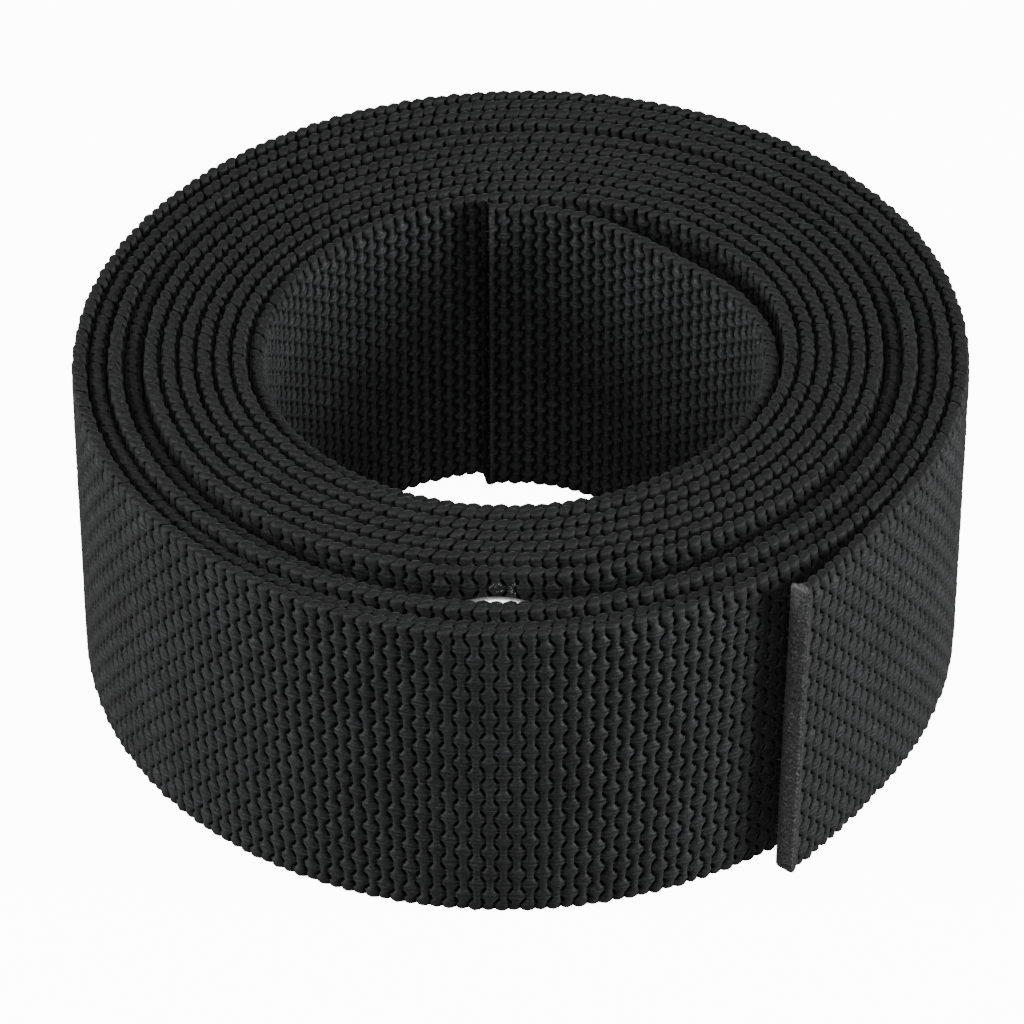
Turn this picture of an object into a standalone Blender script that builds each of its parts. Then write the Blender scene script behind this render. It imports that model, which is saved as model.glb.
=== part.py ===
"""A coiled dive belt strap: one length of 2 inch nylon webbing rolled round and round on its edge,
with a stainless eyelet clinched through its middle and both ends left free to lift.
Metres, +Z up, the coil standing on its lower edges at z = 0. +X is to the right and -Y the front.

Places along the strap are a sweep: the degrees travelled anticlockwise round +Z, counted from +X,
from the outer cut end to the inner one.
"""

import math

import bpy

# Webbing
STRAP_WIDTH = 0.050
STRAP_THICKNESS = 0.0020
EDGE_CHAMFER = 0.0005
OUTER_END = -55.5
INNER_END = 4057.5
STATION_STEP = 9.0

# How the hand-rolled coil lies: the middle it is rolled round, the outer radius of its outer face,
# and what each turn takes off that
COIL_CENTRE = (-0.00072, -0.00007)
RIM_RADIUS = 0.06395
TURN_PITCH = 0.00249
# Off-centre right, off-centre back, oval along X, oval along the diagonal: at the rim, at the core
RIM_SHAPE = (0.0001, 0.0008, -0.0008, 0.00065)
CORE_SHAPE = (0.0006, 0.0004, 0.0001, 0.00055)
# The outer four turns belly out at the front, which opens the pocket that the eyelet stands in
BELLY_DEPTH = 0.0028
BELLY_AT = -92.0
BELLY_SPREAD = 42.0
POCKET_TURNS = 4.4
# The back is slack between the fourth and fifth turns
SLACK_DEPTH = 0.0008
SLACK_AT = 85.0
SLACK_SPREAD = 45.0
SLACK_TURNS = 4.2

# Free ends
FLARE_FROM = -31.5
FLARE_DEPTH = 0.0029
DIP_AT = 4006.0
DIP_SPREAD = 30.0
DIP_DEPTH = 0.0047
TAIL_HINGES = (-31.5, -13.5, 4.5)
CORE_HINGES = (3964.5, 4009.5)
HINGE_GAP = 0.0003
HINGE_SIDES = 24

# Eyelet: its axis points out of the coil through the fifth turn, which it holds flat
EYELET_AT = 1707.5
EYELET_HEIGHT = 0.0355
EYELET_FACE = 0.0513
FLAT_HALF_ANGLE = 15.0
FLAT_FADE_ANGLE = 24.0
DENT_BEHIND = 0.0007
DENT_LOSS_PER_TURN = 0.0002
DENT_SPREAD = 14.0
HOLE_RADIUS = 0.0063
BARREL_BORE = 0.0055
BARREL_RADIUS = 0.0060
FLANGE_RADIUS = 0.0118
FLANGE_THICKNESS = 0.0010
WASHER_RADIUS = 0.0113
WASHER_THICKNESS = 0.0004
SEAT_GAP = 0.0003
ROUND_STEPS = 48

NYLON = (0.018, 0.019, 0.021, 1.0)
STAINLESS = (0.62, 0.62, 0.63, 1.0)


def clear_scene():
    for obj in list(bpy.data.objects):
        bpy.data.objects.remove(obj)


def new_collection(name, helper=False):
    made = bpy.data.collections.new(name)
    made.hide_render = helper
    bpy.context.scene.collection.children.link(made)
    return made


def put(obj, collection, helper=False):
    collection.objects.link(obj)
    if helper:
        obj.hide_render = True
        obj.display_type = "WIRE"
    return obj


def new_material(name, colour, roughness, metallic):
    made = bpy.data.materials.new(name)
    made.use_nodes = True
    shader = made.node_tree.nodes["Principled BSDF"]
    shader.inputs["Base Color"].default_value = colour
    shader.inputs["Roughness"].default_value = roughness
    shader.inputs["Metallic"].default_value = metallic
    made.diffuse_color = colour
    return made


def smooth_step(value):
    value = min(max(value, 0.0), 1.0)
    return value * value * (3 - 2 * value)


def bell(angle, spread):
    """1 at angle 0, fading both ways round the circle."""
    nearest = (angle + 180) % 360 - 180
    return math.exp(-((nearest / spread) ** 2))


def rolled_radius(sweep):
    """Outer radius of the strap as it lies rolled up, before the eyelet and the free ends."""
    turns = (sweep - OUTER_END) / 360
    depth = (sweep - OUTER_END) / (INNER_END - OUTER_END)
    angle = math.radians(sweep)
    waves = (math.cos(angle), math.sin(angle), math.cos(2 * angle), math.sin(2 * angle))
    radius = RIM_RADIUS - TURN_PITCH * turns
    for wave, rim, core in zip(waves, RIM_SHAPE, CORE_SHAPE):
        radius += wave * (rim + (core - rim) * depth)
    outside_pocket = (1 - math.tanh((turns - POCKET_TURNS) / 0.15)) / 2
    radius += BELLY_DEPTH * bell(sweep - BELLY_AT, BELLY_SPREAD) * outside_pocket
    past = turns - SLACK_TURNS
    slack = math.tanh(past / 0.6) * math.exp(-((past / 2.6) ** 2))
    return radius - SLACK_DEPTH * slack * bell(sweep - SLACK_AT, SLACK_SPREAD)


def eyelet_effect(sweep, radius):
    """The fifth turn is flat under the eyelet, and the turns inside it are pushed in a little."""
    turns = (sweep - OUTER_END) / 360
    away = abs((sweep - EYELET_AT + 180) % 360 - 180)
    if POCKET_TURNS < turns < POCKET_TURNS + 1:
        flat = EYELET_FACE / math.cos(math.radians(min(away, FLAT_FADE_ANGLE)))
        fade = smooth_step((away - FLAT_HALF_ANGLE) / (FLAT_FADE_ANGLE - FLAT_HALF_ANGLE))
        return flat + (radius - flat) * fade
    if turns > POCKET_TURNS + 1:
        turns_in = (sweep - EYELET_AT) / 360 - 1
        dent = max(DENT_BEHIND - DENT_LOSS_PER_TURN * turns_in, 0.0)
        return radius - dent * bell(away, DENT_SPREAD)
    return radius


def outer_radius(sweep):
    """Outer radius of the strap's outer face."""
    radius = eyelet_effect(sweep, rolled_radius(sweep))
    if sweep < FLARE_FROM:
        radius += FLARE_DEPTH * ((FLARE_FROM - sweep) / (FLARE_FROM - OUTER_END)) ** 2
    return radius - DIP_DEPTH * math.exp(-(((sweep - DIP_AT) / DIP_SPREAD) ** 2))


def from_centre(sweep, radius, height):
    angle = math.radians(sweep)
    x = COIL_CENTRE[0] + radius * math.cos(angle)
    y = COIL_CENTRE[1] + radius * math.sin(angle)
    return (x, y, height)


def strap_point(sweep):
    """Where the strap's centreline is, at the height of its middle."""
    radius = outer_radius(sweep) - STRAP_THICKNESS / 2
    return from_centre(sweep, radius, STRAP_WIDTH / 2)


def strap_section(helpers):
    """The strap's cross-section: a flat bar with its four edges chamfered."""
    half_t = STRAP_THICKNESS / 2
    half_w = STRAP_WIDTH / 2
    quarter = [(half_t, half_w - EDGE_CHAMFER), (half_t - EDGE_CHAMFER, half_w)]
    corners = quarter + [(-x, y) for x, y in reversed(quarter)]
    corners += [(-x, -y) for x, y in corners]
    corners.reverse()
    data = bpy.data.curves.new("strap_section", "CURVE")
    spline = data.splines.new("POLY")
    spline.points.add(len(corners) - 1)
    for point, (x, y) in zip(spline.points, corners):
        point.co = (x, y, 0, 1)
    spline.use_cyclic_u = True
    return put(bpy.data.objects.new("strap_section", data), helpers, helper=True)


def swept_strap(name, first, last, section, collection):
    """A length of strap between two sweeps, as a mesh."""
    stations = [first]
    station = math.ceil(first / STATION_STEP) * STATION_STEP
    while station < last:
        if station > first:
            stations.append(station)
        station += STATION_STEP
    stations.append(last)
    data = bpy.data.curves.new(name, "CURVE")
    data.dimensions = "3D"
    data.twist_mode = "Z_UP"
    data.bevel_mode = "OBJECT"
    data.bevel_object = section
    data.use_fill_caps = True
    spline = data.splines.new("POLY")
    spline.points.add(len(stations) - 1)
    for point, sweep in zip(spline.points, stations):
        point.co = (*strap_point(sweep), 1)
    guide = bpy.data.objects.new(name + "_path", data)
    bpy.context.scene.collection.objects.link(guide)
    graph = bpy.context.evaluated_depsgraph_get()
    mesh = bpy.data.meshes.new_from_object(guide.evaluated_get(graph))
    mesh.name = name
    bpy.data.objects.remove(guide)
    strap = put(bpy.data.objects.new(name, mesh), collection)
    weld = strap.modifiers.new("close_caps", "WELD")
    weld.merge_threshold = 0.000001
    return strap


def add_boolean(obj, tool, operation):
    boolean = obj.modifiers.new(tool.name, "BOOLEAN")
    boolean.operation = operation
    boolean.solver = "EXACT"
    boolean.object = tool


def upright_cylinder(name, sweep, radius, height, helpers):
    bpy.ops.mesh.primitive_cylinder_add(
        vertices=HINGE_SIDES, radius=radius, depth=height, location=strap_point(sweep)
    )
    made = bpy.context.active_object
    made.name = name
    for collection in list(made.users_collection):
        collection.objects.unlink(made)
    return put(made, helpers, helper=True)


def add_tongue(strap, sweep, helpers):
    """Rounds an end about the hinge axis, so that it can turn in its neighbour's socket."""
    radius = STRAP_THICKNESS / 2 - 0.00005
    height = STRAP_WIDTH - 2 * EDGE_CHAMFER
    tool = upright_cylinder(strap.name + "_tongue", sweep, radius, height, helpers)
    add_boolean(strap, tool, "UNION")


def cut_socket(strap, sweep, helpers):
    """Hollows an end about the hinge axis."""
    radius = STRAP_THICKNESS / 2 + HINGE_GAP
    name = f"{strap.name}_socket_{sweep:.0f}"
    tool = upright_cylinder(name, sweep, radius, STRAP_WIDTH + 0.01, helpers)
    add_boolean(strap, tool, "DIFFERENCE")


def eyelet_frame(obj, depth):
    """Stands an object made along its own +Z on the eyelet's axis, this far out from the centre."""
    obj.location = from_centre(EYELET_AT, depth, EYELET_HEIGHT)
    obj.rotation_euler = (0, math.pi / 2, math.radians(EYELET_AT))


def turned(name, profile, collection):
    """A body of revolution about its own Z from a closed (radius, height) outline."""
    mesh = bpy.data.meshes.new(name)
    count = len(profile)
    edges = [(i, (i + 1) % count) for i in range(count)]
    mesh.from_pydata([(radius, 0, height) for radius, height in profile], edges, [])
    made = put(bpy.data.objects.new(name, mesh), collection)
    screw = made.modifiers.new("turn", "SCREW")
    screw.steps = ROUND_STEPS
    screw.render_steps = ROUND_STEPS
    screw.use_merge_vertices = True
    screw.merge_threshold = 0.000001
    screw.use_smooth_shade = True
    screw.use_normal_flip = True
    return made


def make_strap_hole(coil, helpers):
    bpy.ops.mesh.primitive_cylinder_add(
        vertices=ROUND_STEPS, radius=HOLE_RADIUS, depth=STRAP_THICKNESS * 2
    )
    tool = bpy.context.active_object
    tool.name = "eyelet_hole"
    for collection in list(tool.users_collection):
        collection.objects.unlink(tool)
    put(tool, helpers, helper=True)
    eyelet_frame(tool, EYELET_FACE - STRAP_THICKNESS / 2)
    add_boolean(coil, tool, "DIFFERENCE")


def make_strap(belt, helpers, nylon):
    section = strap_section(helpers)
    tip_hinge, middle_hinge, root_hinge = TAIL_HINGES
    core_hinge, core_tip_hinge = CORE_HINGES
    pieces = (
        ("tail_tip", OUTER_END, tip_hinge),
        ("tail_middle", tip_hinge, middle_hinge),
        ("tail_root", middle_hinge, root_hinge),
        ("webbing_coil", root_hinge, core_hinge),
        ("core_end_root", core_hinge, core_tip_hinge),
        ("core_end_tip", core_tip_hinge, INNER_END),
    )
    made = {}
    for name, first, last in pieces:
        made[name] = swept_strap(name, first, last, section, belt)
        made[name].data.materials.append(nylon)
    cut_socket(made["tail_middle"], tip_hinge, helpers)
    cut_socket(made["tail_root"], middle_hinge, helpers)
    cut_socket(made["webbing_coil"], root_hinge, helpers)
    cut_socket(made["webbing_coil"], core_hinge, helpers)
    cut_socket(made["core_end_root"], core_tip_hinge, helpers)
    add_tongue(made["tail_tip"], tip_hinge, helpers)
    add_tongue(made["tail_middle"], middle_hinge, helpers)
    add_tongue(made["tail_root"], root_hinge, helpers)
    add_tongue(made["core_end_root"], core_hinge, helpers)
    add_tongue(made["core_end_tip"], core_tip_hinge, helpers)
    make_strap_hole(made["webbing_coil"], helpers)


def make_eyelet(belt, stainless):
    """The barrel's rolled flange stands on the strap's outer face, and the washer backs its inner face."""
    back = -(STRAP_THICKNESS + SEAT_GAP + WASHER_THICKNESS)
    lip = SEAT_GAP + FLANGE_THICKNESS
    barrel = turned(
        "eyelet_barrel",
        [
            (BARREL_BORE, back),
            (BARREL_RADIUS, back),
            (BARREL_RADIUS, SEAT_GAP),
            (FLANGE_RADIUS - 0.0002, SEAT_GAP),
            (FLANGE_RADIUS, SEAT_GAP + 0.0003),
            (FLANGE_RADIUS - 0.0003, lip - 0.0002),
            (FLANGE_RADIUS - 0.0010, lip),
            (BARREL_BORE + 0.0016, lip),
            (BARREL_BORE + 0.0006, lip - 0.0002),
            (BARREL_BORE, SEAT_GAP),
        ],
        belt,
    )
    washer = turned(
        "eyelet_washer",
        [
            (HOLE_RADIUS, back),
            (WASHER_RADIUS, back),
            (WASHER_RADIUS, back + WASHER_THICKNESS),
            (HOLE_RADIUS, back + WASHER_THICKNESS),
        ],
        belt,
    )
    for piece in (barrel, washer):
        eyelet_frame(piece, EYELET_FACE)
        piece.data.materials.append(stainless)


def main():
    clear_scene()
    belt = new_collection("dive_belt")
    helpers = new_collection("helpers", helper=True)
    nylon = new_material("black_nylon", NYLON, 0.75, 0.0)
    stainless = new_material("stainless", STAINLESS, 0.22, 1.0)
    make_strap(belt, helpers, nylon)
    make_eyelet(belt, stainless)


main()
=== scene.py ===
"""The coiled dive belt strap as it looks: woven black nylon webbing rolled on its edge, its two
melted ends, and a polished eyelet in the pocket behind the fourth turn. Metres, +Z up, -Y front.

Places along the strap are a sweep, the degrees travelled anticlockwise round +Z from +X, or an
arc length from the outer cut end. Places across it are counted in rows of the weave, bottom to top.
"""

import math

import bpy
import numpy as np
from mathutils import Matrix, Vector


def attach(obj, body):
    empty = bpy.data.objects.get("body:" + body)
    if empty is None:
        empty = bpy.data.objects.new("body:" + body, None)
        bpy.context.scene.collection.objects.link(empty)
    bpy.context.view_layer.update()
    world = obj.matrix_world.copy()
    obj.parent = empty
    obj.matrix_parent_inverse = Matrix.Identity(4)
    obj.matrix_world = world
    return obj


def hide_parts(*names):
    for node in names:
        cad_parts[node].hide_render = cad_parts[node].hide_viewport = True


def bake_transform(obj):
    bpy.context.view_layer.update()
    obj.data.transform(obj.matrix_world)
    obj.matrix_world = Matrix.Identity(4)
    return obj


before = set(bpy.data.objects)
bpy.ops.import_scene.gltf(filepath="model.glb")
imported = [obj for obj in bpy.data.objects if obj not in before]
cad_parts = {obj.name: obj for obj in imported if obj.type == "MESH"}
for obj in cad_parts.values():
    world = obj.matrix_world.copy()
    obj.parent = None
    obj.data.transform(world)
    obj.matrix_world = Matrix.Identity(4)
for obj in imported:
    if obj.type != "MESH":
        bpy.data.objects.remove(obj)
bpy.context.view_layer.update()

# The rolled shape, which repeats the constants of the CAD part
STRAP_WIDTH = 0.050
STRAP_THICKNESS = 0.0020
OUTER_END = -55.5
INNER_END = 4057.5
COIL_CENTRE = (-0.00072, -0.00007)
RIM_RADIUS = 0.06395
TURN_PITCH = 0.00249
RIM_SHAPE = (0.0001, 0.0008, -0.0008, 0.00065)
CORE_SHAPE = (0.0006, 0.0004, 0.0001, 0.00055)
BELLY_DEPTH = 0.0028
BELLY_AT = -92.0
BELLY_SPREAD = 42.0
POCKET_TURNS = 4.4
POCKET_FADE = 0.15
SLACK_DEPTH = 0.0008
SLACK_AT = 85.0
SLACK_SPREAD = 45.0
SLACK_TURNS = 4.2
SLACK_FADE = 0.6
SLACK_REACH = 2.6
FLARE_FROM = -31.5
FLARE_DEPTH = 0.0029
DIP_AT = 4006.0
DIP_SPREAD = 30.0
DIP_DEPTH = 0.0047
EYELET_AT = 1707.5
EYELET_HEIGHT = 0.0355
EYELET_FACE = 0.0513
EYELET_DROP = 0.00055
FLANGE_DISTANCE = 0.0516
WASHER_DISTANCE = 0.0486
FLAT_HALF_ANGLE = 8.0
FLAT_FADE_ANGLE = 24.0
FLAT_TO_ANGLE = 9.0
DENT_BEHIND = 0.0007
DENT_LOSS_PER_TURN = 0.0002
DENT_SPREAD = 14.0

# What the cloth does beyond the CAD: turns that sit low, given as (turn, depth), and front turns
# that lean out towards the top
LOW_TURNS = ((3.9, 0.00155), (1.9, 0.00095), (10.9, 0.0012))
LOW_SPREAD = 0.3
FLOOR_GAP = 0.0002
LEAN_DEPTH = 0.0021

# The weave: picks along the strap, rows across it, and the ribs' edges swinging between the rows
PICK_PITCH = 0.001835
ROW_PITCH = 0.00201
FIRST_ROW = 0.000895
ROWS = 24
INNER_ROW_RATIO = 1.5
ZIGZAG = 0.00034
ZIGZAG_SHARPNESS = 1.5
HALF_CLOTH = 0.0011
LUMPS = 0.00005

# Each rib is rounded, with a slit beside it between two rows and a hairline across it at each row.
# Places beside a rib go from 0 at its crest to 1 at the groove.
CROWN_DEPTH = 0.00014
VALLEY_DEPTH = 0.00028
SLIT_DEPTH = 0.00028
SLIT_ENDS = 0.55
SLIT_END_FADE = 0.3
OUTER_SLIT_FROM = 0.48
INNER_SLIT_FROM = 0.4
SLIT_FADE = 0.43
INNER_VALLEY = 0.5
HAIRLINE_DEPTH = 0.00012
HAIRLINE_WIDTH = 0.045
HAIRLINE_TO = 0.9

# The selvedges: rounded edges cut into lobes, with a deeper groove at every second pick
HALF_EDGE = 0.00093
EDGE_RISE = 0.0006
EDGE_STEPS = 8
EDGE_ZIGZAG = 0.00008
EDGE_SLANT = 0.00035
STRONG_GROOVE = 0.00032
WEAK_GROOVE = 0.00021
INNER_NOTCH = 0.00047
OUTER_NOTCH = 0.00041
GROOVE_SHARPNESS = 2.2
GROOVE_UNEVENNESS = 0.25
EDGE_FUZZ = 0.00003
EDGE_SWAY = 0.00007

# Painted shade in the yarn's colour where light hardly reaches, from 0 to 1, and painted light
# below 0
DARK_FROM = 0.00013
DARK_TO = 0.00045
OUTER_DARK_FROM = 0.56
OUTER_DARK_FADE = 0.3
INNER_DARK_FROM = 0.64
INNER_DARK_FADE = 0.22
INNER_DARK_WIDENING = 0.28
# Painted shade in the inner faces' hollows, painted light on their ribs, painted shade in hairlines
# and over the whole selvedge
INNER_PAINTED_SHADE = 0.72
INNER_PAINTED_LIGHT = 0.5
HAIRLINE_PAINTED_SHADE = 0.5
EDGE_PAINTED_SHADE = 0.29

# Sealed ends. The painted shade on a melted end goes by whether the end is the outer one; the inner
# end, which lies in shadow, is painted nearly black.
OUTER_MELT = 0.0010
OUTER_MELT_FADE = 0.5
INNER_MELT = 0.0010
INNER_MELT_FADE = 0.3
END_ROUND = 0.00045
END_GRAIN = 0.00012
BEAD_SWELL = 0.00085
BEAD_LENGTH = 0.0009
CAP_COLUMNS = 6
CAP_GRAIN = 0.00017
CAP_DOME = 0.00012
END_PAINTED_SHADE = {True: 0.08, False: 0.86}

# Loose filaments at the ends, and painted glints above the eyelet: pale threads where it throws
# light onto the weave
FRAY_MARGIN = 0.0008
FRAY_DEPTH = 0.0003
FRAY_SINK = 0.0002
FRAY_TILT = 0.9
FRAY_THICKNESS = 0.00008
GLINT_ASIDE = 0.0004
GLINT_HALF_WIDTH = 0.0018
GLINT_ABOVE = 0.0110
GLINT_HALF_HEIGHT = 0.0009
GLINT_SINK = 0.0001
GLINT_LENGTH = 0.00025
GLINT_SPREAD = 0.0003
GLINT_THICKNESS = 0.00009

# The mesh's stations within a pick, from groove to groove, within a row, and along a thread
PICK_STEPS = (-1.0, -0.85, -0.6, 0.0, 0.6, 0.85)
ROW_STEPS = (0.0, 0.07, 0.2, 0.32, 0.44, 0.56, 0.68, 0.8, 0.93)
INNER_ROW_STEPS = (0.0, 0.12, 0.32, 0.5, 0.68, 0.88)
LATHE_STEPS = 96
THREAD_STEPS = (0.0, 0.35, 0.7, 1.0)
THREAD_SAG = 0.5
THREAD_TAPER = 0.7
ANY_DIRECTION = (0.31, 0.17, 0.93)


def smooth_step(value):
    value = np.clip(value, 0.0, 1.0)
    return value * value * (3 - 2 * value)


def bell(angle, spread):
    nearest = (angle + 180) % 360 - 180
    return np.exp(-((nearest / spread) ** 2))


def turns_at(sweep):
    """Turns travelled from the outer cut end."""
    return (sweep - OUTER_END) / 360


def outside_pocket(sweep):
    """1 on the turns outside the eyelet's pocket, 0 on the turns inside it."""
    return (1 - np.tanh((turns_at(sweep) - POCKET_TURNS) / POCKET_FADE)) / 2


def rolled_radius(sweep):
    """Radius of the strap's outer face before the eyelet and the free ends push it aside."""
    turns = turns_at(sweep)
    depth = (sweep - OUTER_END) / (INNER_END - OUTER_END)
    angle = np.radians(sweep)
    waves = (np.cos(angle), np.sin(angle), np.cos(2 * angle), np.sin(2 * angle))
    radius = RIM_RADIUS - TURN_PITCH * turns
    for wave, rim, core in zip(waves, RIM_SHAPE, CORE_SHAPE):
        radius = radius + wave * (rim + (core - rim) * depth)
    radius = radius + BELLY_DEPTH * bell(sweep - BELLY_AT, BELLY_SPREAD) * outside_pocket(sweep)
    past = turns - SLACK_TURNS
    slack = np.tanh(past / SLACK_FADE) * np.exp(-((past / SLACK_REACH) ** 2))
    return radius - SLACK_DEPTH * slack * bell(sweep - SLACK_AT, SLACK_SPREAD)


def outer_radius(sweep):
    """Radius of the strap's outer face."""
    radius = rolled_radius(sweep)
    turns = turns_at(sweep)
    away = np.abs((sweep - EYELET_AT + 180) % 360 - 180)
    flat = EYELET_FACE / np.cos(np.radians(np.minimum(away, FLAT_TO_ANGLE)))
    fade = smooth_step((away - FLAT_HALF_ANGLE) / (FLAT_FADE_ANGLE - FLAT_HALF_ANGLE))
    turns_in = (sweep - EYELET_AT) / 360 - 1
    dent = np.maximum(DENT_BEHIND - DENT_LOSS_PER_TURN * turns_in, 0.0)
    pressed = radius - dent * bell(away, DENT_SPREAD)
    held_flat = flat + (radius - flat) * fade
    radius = np.where(turns > POCKET_TURNS, held_flat, radius)
    radius = np.where(turns > POCKET_TURNS + 1, pressed, radius)
    loose = np.maximum((FLARE_FROM - sweep) / (FLARE_FROM - OUTER_END), 0.0)
    radius = radius + FLARE_DEPTH * loose**2
    return radius - DIP_DEPTH * np.exp(-(((sweep - DIP_AT) / DIP_SPREAD) ** 2))


# The strap's middle line, as arc length against sweep
SWEEPS = np.arange(OUTER_END - 3, INNER_END + 3, 0.25)
_radii = outer_radius(SWEEPS) - STRAP_THICKNESS / 2
LINE = np.stack(
    [
        COIL_CENTRE[0] + _radii * np.cos(np.radians(SWEEPS)),
        COIL_CENTRE[1] + _radii * np.sin(np.radians(SWEEPS)),
    ],
    axis=1,
)
_steps = np.hypot(*np.diff(LINE, axis=0).T)
ALONG = np.concatenate([[0.0], np.cumsum(_steps)])
ALONG -= np.interp(OUTER_END, SWEEPS, ALONG)
LENGTH = float(np.interp(INNER_END, SWEEPS, ALONG))
_tangent = np.gradient(LINE, ALONG, axis=0)
_tangent /= np.linalg.norm(_tangent, axis=1)[:, None]
NORMAL = np.stack([_tangent[:, 1], -_tangent[:, 0]], axis=1)
PICKS = round(LENGTH / PICK_PITCH)
PICK = LENGTH / PICKS

UP = np.array([0.0, 0.0, 1.0])
_towards = math.radians(EYELET_AT)
EYELET_OUT = np.array([math.cos(_towards), math.sin(_towards), 0.0])
EYELET_SIDE = np.array([-math.sin(_towards), math.cos(_towards), 0.0])


def pick_at(sweep):
    return int(round(float(np.interp(sweep, SWEEPS, ALONG)) / PICK))


def ripple(values, seed):
    """Small repeatable unevenness from -1 to 1, one number for each value."""
    spun = np.sin(values * 12.9898 + seed * 78.233) * 43758.5453
    return 2 * (spun - np.floor(spun)) - 1


# Rows where a face has points. A face that other turns cover is woven only near its top.
INNER_ROWS = int(ROWS * INNER_ROW_RATIO)
WOVEN = [k + step for k in range(ROWS) for step in ROW_STEPS] + [float(ROWS)]
WOVEN_INSIDE = [(k + step) / INNER_ROW_RATIO for k in range(INNER_ROWS) for step in INNER_ROW_STEPS]
WOVEN_INSIDE.append(float(ROWS))
COVERED_FROM = 23
COVERED = [0.5, 8.0, 16.0, 21.0, 22.5, 22.8] + WOVEN[COVERED_FROM * len(ROW_STEPS) :]
POCKET_FROM = 20
POCKET_WALL = [0.5, 8.0, 16.0, 19.0] + WOVEN[POCKET_FROM * len(ROW_STEPS) :]
LOWEST = (EDGE_RISE - FIRST_ROW) / ROW_PITCH
HIGHEST = (STRAP_WIDTH - EDGE_RISE - FIRST_ROW) / ROW_PITCH


class Ring:
    """The strap's section as a closed outline: up the outer face, over the top edge, down the inner
    face and under the bottom edge. Each face is woven from the given row upwards."""

    def __init__(self, outer, inner, outer_from=LOWEST, inner_from=LOWEST):
        rows, across, rise, out, up, fine, side = [], [], [], [], [], [], []

        def add(row, a, r, n_out, n_up, f, s):
            rows.append(row)
            across.append(a)
            rise.append(r)
            out.append(n_out)
            up.append(n_up)
            fine.append(f)
            side.append(s)

        def face(listed, sign, woven_from):
            points = [LOWEST] + listed + [HIGHEST]
            for row in points if sign > 0 else points[::-1]:
                add(row, sign, 0.0, sign, 0.0, float(row >= woven_from), sign)

        def edge(sign):
            for i in range(1, EDGE_STEPS):
                turn = math.pi * i / EDGE_STEPS
                if sign < 0:
                    turn = math.pi - turn
                a = math.copysign(abs(math.cos(turn)) ** 0.8, math.cos(turn))
                r = sign * math.sin(turn) ** 0.7
                row = HIGHEST if sign > 0 else LOWEST
                add(row, a, r, math.cos(turn), sign * math.sin(turn), 1.0, 0)

        face(outer, 1, outer_from)
        edge(1)
        face(inner, -1, inner_from)
        edge(-1)
        self.rows = np.array(rows)
        self.across = np.array(across, float)
        self.rise = np.array(rise, float)
        self.out = np.array(out, float)
        self.up = np.array(up, float)
        self.fine = np.array(fine, float)
        self.side = np.array(side)
        self.woven_row = np.clip(self.rows, 0, ROWS) * np.where(self.side < 0, INNER_ROW_RATIO, 1.0)
        self.to_edge = np.abs(self.rows - ROWS / 2) - ROWS / 2


def relief(ring, pick, step):
    """How far each point lies below the cloth's crests, and its painted shade, with painted light
    below 0.
    """
    row = ring.woven_row[None, :]
    beside = np.abs(step)[:, None]
    inner = (ring.across < 0)[None, :]
    slit_here = smooth_step((np.abs(np.sin(np.pi * row)) - SLIT_ENDS) / SLIT_END_FADE)
    widened = beside - INNER_DARK_FROM + INNER_DARK_WIDENING * slit_here
    inner_shadow = INNER_PAINTED_SHADE * smooth_step(widened / INNER_DARK_FADE)
    outer_shadow = slit_here * smooth_step((beside - OUTER_DARK_FROM) / OUTER_DARK_FADE)
    slit_here = np.maximum(slit_here, INNER_VALLEY * inner)
    slit_from = np.where(inner, INNER_SLIT_FROM, OUTER_SLIT_FROM)
    slit = SLIT_DEPTH * slit_here * smooth_step((beside - slit_from) / SLIT_FADE)
    hair = np.exp(-(((row - np.round(row)) / HAIRLINE_WIDTH) ** 2))
    hair = hair * np.where(beside > 0.5, 1.0, 0.6) * (beside < HAIRLINE_TO)
    face = slit + VALLEY_DEPTH * beside**4 + CROWN_DEPTH * beside**2 + HAIRLINE_DEPTH * hair
    groove = np.where(step < 0, pick, pick + 1)
    ridge = np.where(groove % 2 == 0, STRONG_GROOVE, WEAK_GROOVE)[:, None]
    uneven = 1 + GROOVE_UNEVENNESS * ripple(groove, 3)[:, None]
    at_side = smooth_step((np.abs(ring.across) - 0.4) / 0.45)[None, :]
    notch = np.where(inner, INNER_NOTCH, OUTER_NOTCH)
    edge = (ridge + (notch - ridge) * at_side) * uneven * beside**GROOVE_SHARPNESS
    on_edge = smooth_step((ring.to_edge + 0.35) / 0.4)[None, :]
    on_face = (1 - on_edge) * ring.fine[None, :]
    deep = (face + (edge - face) * on_edge) * ring.fine[None, :]
    # Painted shade in the deep selvedge grooves, painted shadow in the slits and hairlines, painted
    # shade over the whole selvedge
    painted_shade = np.clip((deep - DARK_FROM) / (DARK_TO - DARK_FROM), 0, 1) * on_edge
    shadow = np.where(inner, inner_shadow, np.maximum(outer_shadow, HAIRLINE_PAINTED_SHADE * hair))
    painted_shade = np.maximum(painted_shade + shadow * on_face, EDGE_PAINTED_SHADE * on_edge)
    # Painted light makes the inner faces' ribs paler
    return deep, painted_shade - INNER_PAINTED_LIGHT * inner * (1 - painted_shade) * on_face


def place(along, offset, height):
    """Points beside the strap's middle line: how far along it, out from it, and up."""
    x = np.interp(along, ALONG, LINE[:, 0]) + np.interp(along, ALONG, NORMAL[:, 0]) * offset
    y = np.interp(along, ALONG, LINE[:, 1]) + np.interp(along, ALONG, NORMAL[:, 1]) * offset
    return np.stack([x, y, height], axis=-1)


def bead_side(outer_end):
    """The face that the melted bead bulges from: 1 for the outer face, -1 for the inner one."""
    return -1 if outer_end else 1


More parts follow.
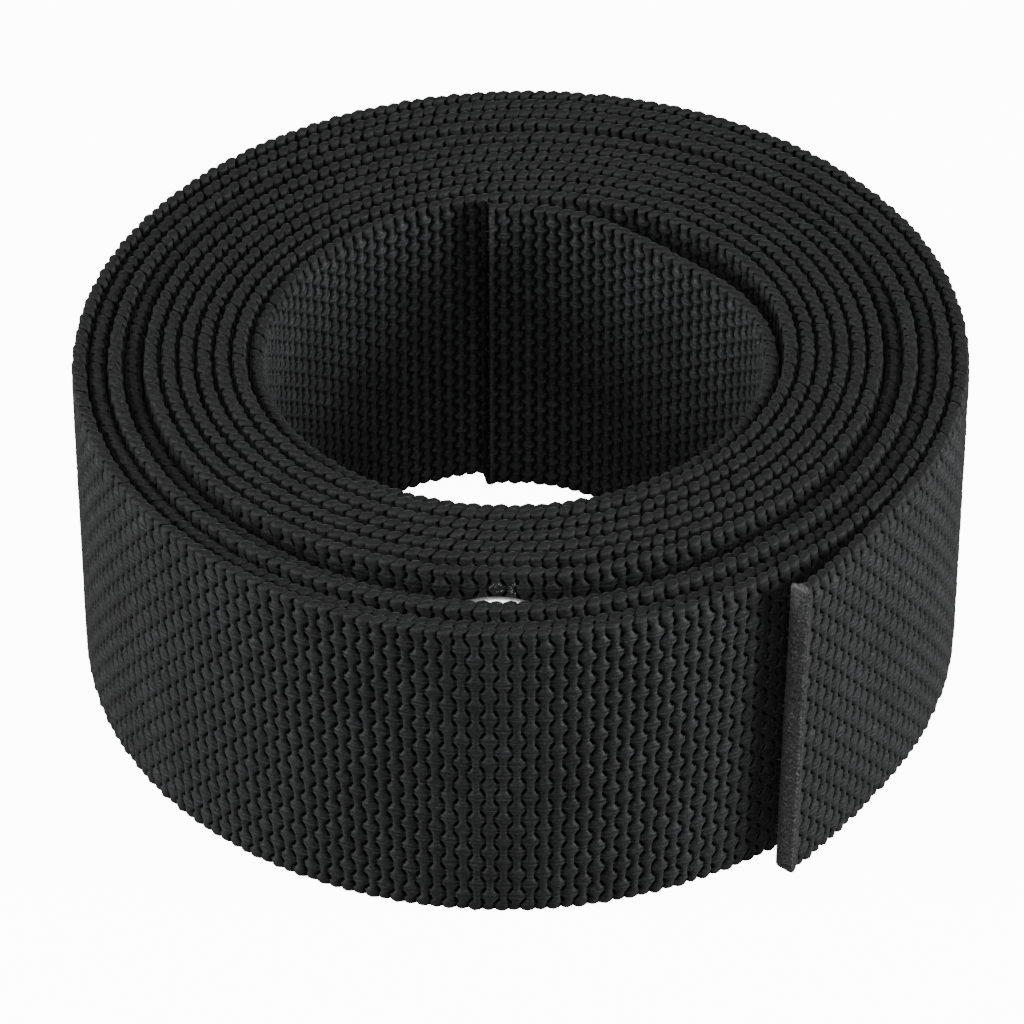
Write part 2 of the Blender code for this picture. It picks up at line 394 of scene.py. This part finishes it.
def strap_section(ring, pick, step):
    """The section at each pick and step in it: along, offset, height, painted shade, how melted."""
    row = ring.woven_row[None, :]
    middle = (pick + 0.5 + step / 2) * PICK
    outer_fade, inner_fade = OUTER_MELT * OUTER_MELT_FADE, INNER_MELT * INNER_MELT_FADE
    melt = np.where(
        middle < LENGTH / 2,
        1 - smooth_step((middle - (OUTER_MELT - outer_fade)) / outer_fade),
        1 - smooth_step((LENGTH - middle - (INNER_MELT - inner_fade)) / inner_fade),
    )
    keep = (1 - melt)[:, None]
    across = ring.across[None, :]
    swing = np.clip(ZIGZAG_SHARPNESS * np.cos(np.pi * (row + pick[:, None])), -1, 1) * across
    near_edge = smooth_step((ring.to_edge + 0.7) / 0.8)[None, :]
    zigzag = (ZIGZAG + (EDGE_ZIGZAG - ZIGZAG) * near_edge) * ring.fine[None, :]
    shift = step[:, None] * zigzag * swing - EDGE_SLANT * across * near_edge
    along = middle[:, None] + shift * keep
    deep, painted_shade = relief(ring, pick, step)
    lumps = LUMPS * ripple(np.floor(pick)[:, None] * 7 + np.round(row), 5)
    fuzz = EDGE_FUZZ * ripple(pick[:, None] * 3.1 + step[:, None] * 1.7 + across * 2.3, 7)
    deep = (deep + (lumps + fuzz * near_edge) * ring.fine[None, :]) * keep
    sweep = np.interp(along, ALONG, SWEEPS)
    turns = turns_at(sweep)
    low = 0.0
    for turn, depth in LOW_TURNS:
        low = low + depth * np.exp(-(((turns - turn) / LOW_SPREAD) ** 2))
    height = FIRST_ROW + ring.rows[None, :] * ROW_PITCH + EDGE_RISE * ring.rise[None, :]
    height = height - deep * ring.up[None, :]
    height = FLOOR_GAP + height * (STRAP_WIDTH - FLOOR_GAP - low) / STRAP_WIDTH
    lean = LEAN_DEPTH * bell(sweep - BELLY_AT, BELLY_SPREAD) * outside_pocket(sweep)
    half = HALF_CLOTH - (HALF_CLOTH - HALF_EDGE) * near_edge * keep
    offset = across * half - deep * ring.out[None, :]
    sway = EDGE_SWAY * (1 - 2 * (pick % 2)) + 0.5 * EDGE_SWAY * ripple(pick, 11)
    offset = offset + sway[:, None] * near_edge * keep * np.cos(step * np.pi / 2)[:, None]
    swell = BEAD_SWELL * (1 - smooth_step(np.minimum(middle, LENGTH - middle) / BEAD_LENGTH))
    swollen = bead_side(middle[0] < LENGTH / 2)
    offset = offset + swell[:, None] * swollen * np.clip(across * swollen, 0, 1)
    offset = offset - lean * (1 - height / STRAP_WIDTH)
    # Painted shade on the melted ends, nearly black at the inner one
    painted_shade = painted_shade * keep + END_PAINTED_SHADE[bool(middle[0] < LENGTH / 2)] * melt[:, None]
    return along, offset, height, painted_shade, np.broadcast_to(melt[:, None], along.shape)


def new_mesh(name, points, polygons, material, attributes=None, flat=0):
    """A mesh from tables of faces, each with the same number of corners. The last flat faces are
    shaded flat."""
    mesh = bpy.data.meshes.new(name)
    mesh.vertices.add(len(points))
    mesh.vertices.foreach_set("co", np.ascontiguousarray(points, np.float32).ravel())
    corners = np.concatenate([table.ravel() for table in polygons])
    totals = np.concatenate([np.full(len(table), table.shape[1]) for table in polygons])
    starts = np.concatenate([[0], np.cumsum(totals)[:-1]])
    mesh.loops.add(len(corners))
    mesh.loops.foreach_set("vertex_index", corners.astype(np.int32))
    mesh.polygons.add(len(totals))
    mesh.polygons.foreach_set("loop_start", starts.astype(np.int32))
    smooth = np.ones(len(totals), bool)
    if flat:
        smooth[-flat:] = False
    mesh.polygons.foreach_set("use_smooth", smooth)
    mesh.update(calc_edges=True)
    for label, values in (attributes or {}).items():
        kind = "FLOAT_VECTOR" if values.ndim == 2 else "FLOAT"
        slot = mesh.attributes.new(label, kind, "POINT")
        field = "vector" if values.ndim == 2 else "value"
        slot.data.foreach_set(field, np.ascontiguousarray(values, np.float32).ravel())
    mesh.materials.append(material)
    obj = bpy.data.objects.new(name, mesh)
    bpy.context.scene.collection.objects.link(obj)
    return obj


def rounded_end(section, outwards):
    """The section drawn in over a few steps past the strap's end, so that it has no corner."""
    along, offset, height, _, _ = section
    middle = offset.mean()
    rings = []
    for turn in np.radians((30.0, 60.0, 90.0)):
        drawn_in = END_ROUND * (1 - math.cos(turn))
        beyond = along + outwards * END_ROUND * math.sin(turn)
        narrower = middle + (offset - middle) * (1 - drawn_in / HALF_CLOTH)
        shorter = 1 - 2 * drawn_in / STRAP_WIDTH
        lower = STRAP_WIDTH / 2 + (height - STRAP_WIDTH / 2) * shorter
        grain = END_GRAIN * ripple(height * 91000 + offset * 37000, turn)
        rings.append((beyond + outwards * grain, narrower + grain, lower))
    return rings


def melted_face(ring, points, first, away):
    """New points and faces that close a melted end with a grainy, slightly domed face. first is the
    index of the end ring's first point, and away the direction out of the end."""
    n = int(np.sum(ring.side == 1))
    e = EDGE_STEPS - 1
    outer = first + np.arange(n)
    inner = first + n + e + (n - 1 - np.arange(n))
    base = len(points)
    share = np.arange(1, CAP_COLUMNS + 1) / (CAP_COLUMNS + 1)
    a, b = points[outer][:, None, :], points[inner][:, None, :]
    between = a + (b - a) * share[None, :, None]
    dome = CAP_DOME * (1 - (2 * share - 1) ** 2)[None, :]
    grain = CAP_GRAIN * ripple(np.arange(n)[:, None] * 3.7 + share[None, :] * 9.1, 2)
    between = between + (dome + grain)[:, :, None] * away
    new = base + np.arange(CAP_COLUMNS * n).reshape(n, CAP_COLUMNS)
    grid = np.column_stack([outer, new, inner])
    quads = np.stack([grid[:-1, :-1], grid[1:, :-1], grid[1:, 1:], grid[:-1, 1:]], axis=-1)
    top = np.concatenate([first + n + np.arange(e), grid[-1][::-1]])
    bottom = np.concatenate([first + 2 * n + e + np.arange(e), grid[0]])
    return between.reshape(-1, 3), [quads.reshape(-1, 4), top[None, :], bottom[None, :]]


def with_rounded_end(section, outer_end):
    """The strap's stations with the melted end's rounding added past the first or the last one."""
    along = section[0]
    at, outwards = (0, -1) if outer_end else (-1, 1)
    end = tuple(part[at] for part in section)
    end = (end[0] - outwards * END_ROUND, *end[1:])
    too_far = (along - end[0][None, :]) * outwards > 0
    along = np.where(too_far, end[0][None, :] - outwards * 1e-5, along)
    section = (along, *section[1:])
    for beyond, narrower, lower in rounded_end(end, outwards):
        plain = np.zeros_like(beyond)
        # The rounding carries the end's painted shade
        added = (beyond, narrower, lower, plain + END_PAINTED_SHADE[outer_end], plain + 1)
        joined = zip(added, section) if outer_end else zip(section, added)
        section = tuple(np.vstack(pair) for pair in joined)
    return section


def strap_piece(name, first, last, ring, material):
    """The strap from one pick to another, closed at both ends."""
    pick = np.repeat(np.arange(first, last, dtype=float), len(PICK_STEPS))
    step = np.tile(np.array(PICK_STEPS), last - first)
    pick = np.append(pick, float(last))
    step = np.append(step, -1.0)
    section = strap_section(ring, pick, step)
    if first == 0:
        section = with_rounded_end(section, True)
    if last == PICKS:
        section = with_rounded_end(section, False)
    along, offset, height, painted_shade, melt = section
    points = place(along, offset, height)
    cloth = np.stack([along, height, offset], axis=-1) * 1000
    index = np.arange(along.size).reshape(along.shape)
    after = np.roll(index, -1, axis=1)
    quads = np.stack([index[:-1], index[1:], after[1:], after[:-1]], axis=-1).reshape(-1, 4)
    points, cloth = points.reshape(-1, 3), cloth.reshape(-1, 3)
    painted_shade, melt = painted_shade.ravel(), melt.ravel()
    cut_face = index[-1][::-1] if first == 0 else index[0]
    faces, flat = [quads, index[0][None, :], index[-1][::-1][None, :]], 2
    if first == 0 or last == PICKS:
        outer_end = first == 0
        station, before = (index[0], index[1]) if outer_end else (index[-1], index[-2])
        away = points[station].mean(axis=0) - points[before].mean(axis=0)
        away /= np.linalg.norm(away)
        added, closing = melted_face(ring, points, station[0], away)
        if not outer_end:
            closing = [table[:, ::-1] for table in closing]
        cloth = np.concatenate([cloth, added * 1000])
        # The melted face carries the end's painted shade
        painted_shade = np.concatenate([painted_shade, np.full(len(added), END_PAINTED_SHADE[outer_end])])
        melt = np.concatenate([melt, np.ones(len(added))])
        points = np.concatenate([points, added])
        faces, flat = [quads, *closing, cut_face[None, :]], 1
    # This attribute carries painted shade and painted light into the material
    attributes = {"painted_shade": painted_shade, "cloth": cloth, "melted": melt}
    return new_mesh(name, points, faces, material, attributes, flat)


def node_of(tree, kind, **settings):
    made = tree.nodes.new(kind)
    for key, value in settings.items():
        setattr(made, key, value)
    return made


def new_material(name, roughness, **inputs):
    made = bpy.data.materials.new(name)
    made.use_nodes = True
    shader = made.node_tree.nodes["Principled BSDF"]
    shader.inputs["Roughness"].default_value = roughness
    for key, value in inputs.items():
        shader.inputs[key.replace("_", " ")].default_value = value
    return made, made.node_tree, shader


def noise_node(tree, where, scale, detail=2.0):
    noise = node_of(tree, "ShaderNodeTexNoise")
    noise.inputs["Scale"].default_value = scale
    noise.inputs["Detail"].default_value = detail
    tree.links.new(where, noise.inputs["Vector"])
    return noise.outputs["Fac"]


def two_tones(tree, value, low, high):
    """A ramp from one colour to another, each given with its place on the ramp."""
    tone = node_of(tree, "ShaderNodeValToRGB")
    for element, (at, colour) in zip(tone.color_ramp.elements, (low, high)):
        element.position = at
        element.color = (*colour, 1)
    tree.links.new(value, tone.inputs["Fac"])
    return tone.outputs["Color"]


def nylon_material():
    """Dyed black nylon: fine filaments along the strap, painted shade between the yarns, painted
    light on the inner faces' ribs and pale specks of loose fibre. The cloth attribute is in
    millimetres."""
    made, tree, shader = new_material("black_nylon_webbing", 0.5)
    shader.inputs["Sheen Weight"].default_value = 0.08
    shader.inputs["Sheen Roughness"].default_value = 0.35
    link = tree.links.new

    def mapped(source, low, high, to_low, to_high):
        ranged = node_of(tree, "ShaderNodeMapRange")
        limits = {"From Min": low, "From Max": high, "To Min": to_low, "To Max": to_high}
        for key, value in limits.items():
            ranged.inputs[key].default_value = value
        link(source, ranged.inputs["Value"])
        return ranged.outputs["Result"]

    def times(first, second):
        product = node_of(tree, "ShaderNodeMath", operation="MULTIPLY")
        link(first, product.inputs[0])
        link(second, product.inputs[1])
        return product.outputs[0]

    cloth = node_of(tree, "ShaderNodeAttribute", attribute_name="cloth")
    painted_shade = node_of(tree, "ShaderNodeAttribute", attribute_name="painted_shade")
    melted = node_of(tree, "ShaderNodeAttribute", attribute_name="melted")
    strands = node_of(tree, "ShaderNodeMapping")
    strands.inputs["Scale"].default_value = (1.0, 4.2, 4.2)
    link(cloth.outputs["Vector"], strands.inputs["Vector"])
    fibre = noise_node(tree, strands.outputs["Vector"], 1.0, 3.0)
    grain = noise_node(tree, cloth.outputs["Vector"], 3.2)
    blotch = noise_node(tree, cloth.outputs["Vector"], 0.12, 4.0)
    tone = two_tones(tree, fibre, (0.38, (0.011, 0.0112, 0.0119)), (0.64, (0.030, 0.031, 0.0327)))
    patch = mapped(blotch, 0.3, 0.7, 0.75, 1.2)
    speckle = mapped(grain, 0.35, 0.65, 0.65, 1.35)
    # shade: painted shade in slits, grooves, hairlines, selvedges and the inner end, and painted
    # light, up to 1.6 times, on the inner faces' ribs
    shade = mapped(painted_shade.outputs["Fac"], -0.5, 0.8, 1.6, 0.03)
    dyed = node_of(tree, "ShaderNodeVectorMath", operation="SCALE")
    link(tone, dyed.inputs[0])
    link(times(times(patch, speckle), shade), dyed.inputs["Scale"])
    cells = node_of(tree, "ShaderNodeTexVoronoi")
    cells.inputs["Scale"].default_value = 0.9
    link(cloth.outputs["Vector"], cells.inputs["Vector"])
    chosen = node_of(tree, "ShaderNodeMath", operation="GREATER_THAN")
    chosen.inputs[1].default_value = 0.965
    link(cells.outputs["Color"], chosen.inputs[0])
    small = node_of(tree, "ShaderNodeMath", operation="LESS_THAN")
    small.inputs[1].default_value = 0.1
    link(cells.outputs["Distance"], small.inputs[0])
    lint_and_glints = node_of(tree, "ShaderNodeMix", data_type="RGBA")
    lint_and_glints.inputs["B"].default_value = (0.22, 0.22, 0.22, 1)
    link(times(chosen.outputs[0], small.outputs[0]), lint_and_glints.inputs["Factor"])
    link(dyed.outputs["Vector"], lint_and_glints.inputs["A"])
    resin = node_of(tree, "ShaderNodeVectorMath", operation="SCALE")
    resin.inputs[0].default_value = (0.082, 0.082, 0.084)
    link(times(times(speckle, speckle), shade), resin.inputs["Scale"])
    fused = node_of(tree, "ShaderNodeMix", data_type="RGBA")
    link(resin.outputs["Vector"], fused.inputs["B"])
    link(melted.outputs["Fac"], fused.inputs["Factor"])
    link(lint_and_glints.outputs["Result"], fused.inputs["A"])
    link(fused.outputs["Result"], shader.inputs["Base Color"])
    # Painted shade also roughens the shaded places and takes their gloss away
    link(mapped(painted_shade.outputs["Fac"], 0.0, 0.8, 0.56, 0.95), shader.inputs["Roughness"])
    link(mapped(painted_shade.outputs["Fac"], 0.3, 0.8, 0.40, 0.0), shader.inputs["Specular IOR Level"])
    relief_height = node_of(tree, "ShaderNodeMath", operation="ADD")
    link(fibre, relief_height.inputs[0])
    link(grain, relief_height.inputs[1])
    bump = node_of(tree, "ShaderNodeBump")
    bump.inputs["Strength"].default_value = 1.0
    bump.inputs["Distance"].default_value = 0.00007
    link(relief_height.outputs[0], bump.inputs["Height"])
    link(bump.outputs["Normal"], shader.inputs["Normal"])
    return made


def steel_material():
    """Polished steel, unevenly bright from handling."""
    made, tree, shader = new_material("polished_stainless", 0.25, Metallic=1.0)
    shader.inputs["Base Color"].default_value = (0.9, 0.9, 0.89, 1)
    where = node_of(tree, "ShaderNodeTexCoord")
    wear = node_of(tree, "ShaderNodeMapRange")
    wear.inputs["To Min"].default_value = 0.2
    wear.inputs["To Max"].default_value = 0.36
    noise = noise_node(tree, where.outputs["Object"], 900.0, 3.0)
    tree.links.new(noise, wear.inputs["Value"])
    tree.links.new(wear.outputs["Result"], shader.inputs["Roughness"])
    return made


def thread_material(name, low, high):
    """Loose filaments, paler where they have been stretched. Made pale, it also colours the threads
    that paint glints above the eyelet.
    """
    made, tree, shader = new_material(name, 0.45)
    where = node_of(tree, "ShaderNodeTexCoord")
    noise = noise_node(tree, where.outputs["Object"], 700.0)
    tone = two_tones(tree, noise, (0.4, (low, low, low)), (0.65, (high, high, high)))
    tree.links.new(tone, shader.inputs["Base Color"])
    return made


def lathe(name, profile, face_distance, material):
    """A ring turned about the eyelet's axis, from a profile of radii and heights above its face."""
    centre = np.array([COIL_CENTRE[0], COIL_CENTRE[1], EYELET_HEIGHT - EYELET_DROP])
    angle = 2 * math.pi * np.arange(LATHE_STEPS) / LATHE_STEPS
    spoke = np.cos(angle)[:, None] * EYELET_SIDE + np.sin(angle)[:, None] * UP
    profile = np.array(profile)
    points = centre + EYELET_OUT * (face_distance + profile[None, :, 1, None])
    points = points + spoke[:, None, :] * profile[None, :, 0, None]
    index = np.arange(points[..., 0].size).reshape(points.shape[:2])
    after = np.roll(index, -1, axis=0)
    along = np.roll(index, -1, axis=1)
    both = np.roll(after, -1, axis=1)
    quads = np.stack([index, after, both, along], axis=-1).reshape(-1, 4)
    return new_mesh(name, points.reshape(-1, 3), [quads], material)


def fibres(name, roots, aims, lengths, thickness, material):
    """Loose filaments: bent, tapering three-sided threads, one from each root."""
    points, faces = [], []
    for number, (root, aim, length) in enumerate(zip(roots, aims, lengths)):
        sag = [ripple(number * rate, seed) for rate, seed in ((1.3, 21), (1.7, 22), (2.1, 23))]
        sag = np.array(sag) * THREAD_SAG
        side = np.cross(aim, ANY_DIRECTION)
        side /= np.linalg.norm(side)
        other = np.cross(aim, side)
        base = len(points)
        for bend in THREAD_STEPS:
            middle = root + length * (aim * bend + sag * bend**2)
            radius = thickness / 2 * (1 - THREAD_TAPER * bend)
            for corner in range(3):
                turn = 2 * math.pi * corner / 3
                points.append(middle + radius * (math.cos(turn) * side + math.sin(turn) * other))
        for level in range(len(THREAD_STEPS) - 1):
            for corner in range(3):
                a, b = base + 3 * level + corner, base + 3 * level + (corner + 1) % 3
                faces.append((a, b, b + 3, a + 3))
    return new_mesh(name, np.array(points), [np.array(faces)], material)


def end_fibres(name, outer_end, side, count, seed, reach):
    """Filaments that stand off one side of a melted end, all the way up it."""
    number = np.arange(count, dtype=float)
    at = 0.0 if outer_end else LENGTH
    inwards = 1 if outer_end else -1
    share = (number + 0.5 + 0.45 * ripple(number, seed)) / count
    height = FRAY_MARGIN + (STRAP_WIDTH - 2 * FRAY_MARGIN) * share
    along = at + inwards * FRAY_DEPTH * (1 + 0.9 * ripple(number * 1.9, seed + 1))
    bulge = BEAD_SWELL if side == bead_side(outer_end) else 0.0
    sweep = OUTER_END if outer_end else INNER_END
    lean = LEAN_DEPTH * bell(sweep - BELLY_AT, BELLY_SPREAD) * outside_pocket(sweep)
    offset = side * (HALF_CLOTH + 0.8 * bulge - FRAY_SINK) - lean * (1 - height / STRAP_WIDTH)
    normal = np.array([*(np.interp(at, ALONG, NORMAL[:, axis]) for axis in (0, 1)), 0.0])
    tangent = np.array([-normal[1], normal[0], 0.0])
    aims = side * normal + tangent * ripple(number * 3.3, seed + 3)[:, None] * FRAY_TILT
    aims = aims + UP * ripple(number * 4.1, seed + 4)[:, None] * FRAY_TILT
    aims /= np.linalg.norm(aims, axis=1)[:, None]
    lengths = reach * (0.45 + 0.55 * np.abs(ripple(number * 5.3, seed + 5)))
    return fibres(name, place(along, offset, height), aims, lengths, FRAY_THICKNESS, thread)


def eyelet_glint_threads(name, count, seed):
    """Painted glints: pale threads on the weave just above the eyelet, standing for the light it
    throws there.
    """
    number = np.arange(count, dtype=float)
    middle = float(np.interp(EYELET_AT, SWEEPS, ALONG))
    along = middle + GLINT_ASIDE + GLINT_HALF_WIDTH * ripple(number, seed)
    above = GLINT_ABOVE + GLINT_HALF_HEIGHT * (1 + ripple(number * 1.7, seed + 1))
    roots = place(along, np.full(count, HALF_CLOTH - GLINT_SINK), EYELET_HEIGHT + above)
    aims = 0.4 * EYELET_OUT + EYELET_SIDE * ripple(number * 2.3, seed + 2)[:, None]
    aims = aims + UP * ripple(number * 2.9, seed + 3)[:, None] * 0.5
    aims /= np.linalg.norm(aims, axis=1)[:, None]
    lengths = GLINT_LENGTH + GLINT_SPREAD * np.abs(ripple(number * 3.1, seed + 4))
    return fibres(name, roots, aims, lengths, GLINT_THICKNESS, painted_glint)


def add_area_light(name, stand, size, power):
    light = bpy.data.lights.new(name, "AREA")
    light.shape = "RECTANGLE"
    light.size, light.size_y = size
    light.energy = power
    obj = bpy.data.objects.new(name, light)
    obj.location = stand
    obj.rotation_mode = "QUATERNION"
    obj.rotation_quaternion = (Vector(LIGHT_TARGET) - Vector(stand)).to_track_quat("-Z", "Y")
    bpy.context.scene.collection.objects.link(obj)


nylon = nylon_material()
steel = steel_material()
thread = thread_material("frayed_filament", 0.03, 0.2)
# Pale threads that paint glints of light above the eyelet
painted_glint = thread_material("painted_glint_threads", 0.25, 0.8)

FULL = Ring(WOVEN, WOVEN_INSIDE)
RIM = Ring(WOVEN, COVERED, inner_from=COVERED_FROM)
MIDDLE = Ring(COVERED, COVERED, COVERED_FROM, COVERED_FROM)
POCKET = Ring(POCKET_WALL, COVERED, POCKET_FROM, COVERED_FROM)
CORE = Ring(COVERED, WOVEN_INSIDE, outer_from=COVERED_FROM)

# Sweeps where the strap is cut into pieces
TAIL_CUTS = (OUTER_END, -22.5, -4.5, 22.5)
RIM_CUTS = (22.5, 112.0, 200.0, 288.0, 375.0)
OUTSIDE_CUTS = (375.0, 755.0, 1145.0, 1530.0)
POCKET_CUTS = (1530.0, 1710.0, 1890.0)
INSIDE_CUTS = tuple(np.linspace(1890.0, 3600.0, 6))
CORE_CUTS = (3600.0, 3770.0, 3942.0)
CORE_END_CUTS = (3942.0, 3987.0, INNER_END)


def run(name, cuts, ring):
    """The strap's pieces between the cuts, each with its length along the strap."""
    made = []
    for number, (low, high) in enumerate(zip(cuts[:-1], cuts[1:])):
        piece = strap_piece(f"{name}_{number + 1}", pick_at(low), pick_at(high), ring, nylon)
        length = (pick_at(high) - pick_at(low)) * PICK
        made.append((piece, length))
    return made


tail = run("tail", TAIL_CUTS, FULL)
rim = run("rim_turn", RIM_CUTS, RIM)
middle = run("outside_turns", OUTSIDE_CUTS, MIDDLE)
middle += run("pocket_turn", POCKET_CUTS, POCKET)
middle += run("inside_turns", INSIDE_CUTS, MIDDLE)
core = run("core_turn", CORE_CUTS, CORE)
core_end = run("core_end", CORE_END_CUTS, FULL)

for piece, _ in rim + middle + core:
    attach(piece, "coil")
tail_chain = ("tail_tip", "tail_middle", "tail_root", "coil")
for number, (piece, _) in enumerate(tail):
    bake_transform(piece)
    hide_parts(tail_chain[number])
core_chain = ("coil", "core_end_root", "core_end_tip")
for number, (piece, _) in enumerate(core_end):
    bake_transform(piece)
    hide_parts(core_chain[number + 1])
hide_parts("webbing_coil")

# Name, whether at the outer end, side of the strap, count, seed, longest filament, body
frays = (
    ("tail_fray_inside", True, -1, 260, 31, 0.0007, "tail_tip"),
    ("tail_fray_outside", True, 1, 120, 41, 0.0005, "tail_tip"),
    ("core_fray_inside", False, -1, 40, 51, 0.0006, "core_end_tip"),
    ("core_fray_outside", False, 1, 30, 61, 0.0006, "core_end_tip"),
)
for name, outer_end, side, count, seed, reach, body in frays:
    fray = end_fibres(name, outer_end, side, count, seed, reach)
    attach(fray, body)
# Painted glints of light from the eyelet, as pale threads above it
lint_and_glints = eyelet_glint_threads("eyelet_painted_glints", 20, 71)
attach(lint_and_glints, "coil")

# The bright floor, unseen by the object's own light
FLOOR_GLOW = 12.0
floor_mesh = bpy.data.meshes.new("floor")
floor_mesh.from_pydata([(-3, -3, 0), (3, -3, 0), (3, 3, 0), (-3, 3, 0)], [], [(0, 1, 2, 3)])
floor = bpy.data.objects.new("floor", floor_mesh)
bpy.context.scene.collection.objects.link(floor)
pale, _, pale_shader = new_material("pale_floor", 0.9)
pale_shader.inputs["Base Color"].default_value = (0.9, 0.9, 0.9, 1)
pale_shader.inputs["Specular IOR Level"].default_value = 0.0
pale_shader.inputs["Emission Color"].default_value = (1, 1, 1, 1)
pale_shader.inputs["Emission Strength"].default_value = FLOOR_GLOW
floor_mesh.materials.append(pale)
floor.visible_diffuse = False
floor.visible_glossy = False
floor.visible_shadow = False

flange = [
    (0.0055, -0.0025),
    (0.0060, -0.0025),
    (0.0060, 0.0),
    (0.0112, 0.0),
    (0.01135, 0.00008),
    (0.01134, 0.00013),
    (0.01095, 0.00056),
    (0.01055, 0.00094),
    (0.0102, 0.00105),
    (0.0070, 0.00105),
    (0.0061, 0.0009),
    (0.0056, 0.0005),
]
washer_section = [(0.0062, 0.0), (0.0113, 0.0), (0.0113, 0.0004), (0.0062, 0.0004)]
eyelet = lathe("eyelet_flange", flange, FLANGE_DISTANCE, steel)
washer = lathe("eyelet_ring", washer_section, WASHER_DISTANCE, steel)
for metal, node in ((eyelet, "eyelet_barrel"), (washer, "eyelet_washer")):
    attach(metal, "coil")
    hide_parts(node)

WORLD_LIGHT = 0.10
LIGHT_TARGET = (0.0, 0.0, 0.02)
world = bpy.data.worlds.new("studio")
bpy.context.scene.world = world
world.use_nodes = True
sky = world.node_tree.nodes["Background"]
sky.inputs["Color"].default_value = (1, 1, 1, 1)
sky.inputs["Strength"].default_value = WORLD_LIGHT
add_area_light("front", (0.0, -0.65, 0.72), (0.6, 0.4), 3.7)
add_area_light("right", (0.96, -0.25, 0.30), (0.4, 0.6), 14.5)
add_area_light("left", (-0.96, -0.22, 0.32), (0.4, 0.6), 11.9)

CAMERA_TARGET = Vector((-0.00125, -0.00557, 0.0250))
CAMERA_DISTANCE = 0.8246
CAMERA_ELEVATION = math.radians(37.48)
CAMERA_LENS = 206.27
camera_data = bpy.data.cameras.new("camera")
camera_data.sensor_width = 36.0
camera_data.lens = CAMERA_LENS
camera = bpy.data.objects.new("camera", camera_data)
back = Vector((0.0, -math.cos(CAMERA_ELEVATION), math.sin(CAMERA_ELEVATION)))
camera.location = CAMERA_TARGET + back * CAMERA_DISTANCE
camera.rotation_mode = "QUATERNION"
camera.rotation_quaternion = (-back).to_track_quat("-Z", "Y")
bpy.context.scene.collection.objects.link(camera)
bpy.context.scene.camera = camera
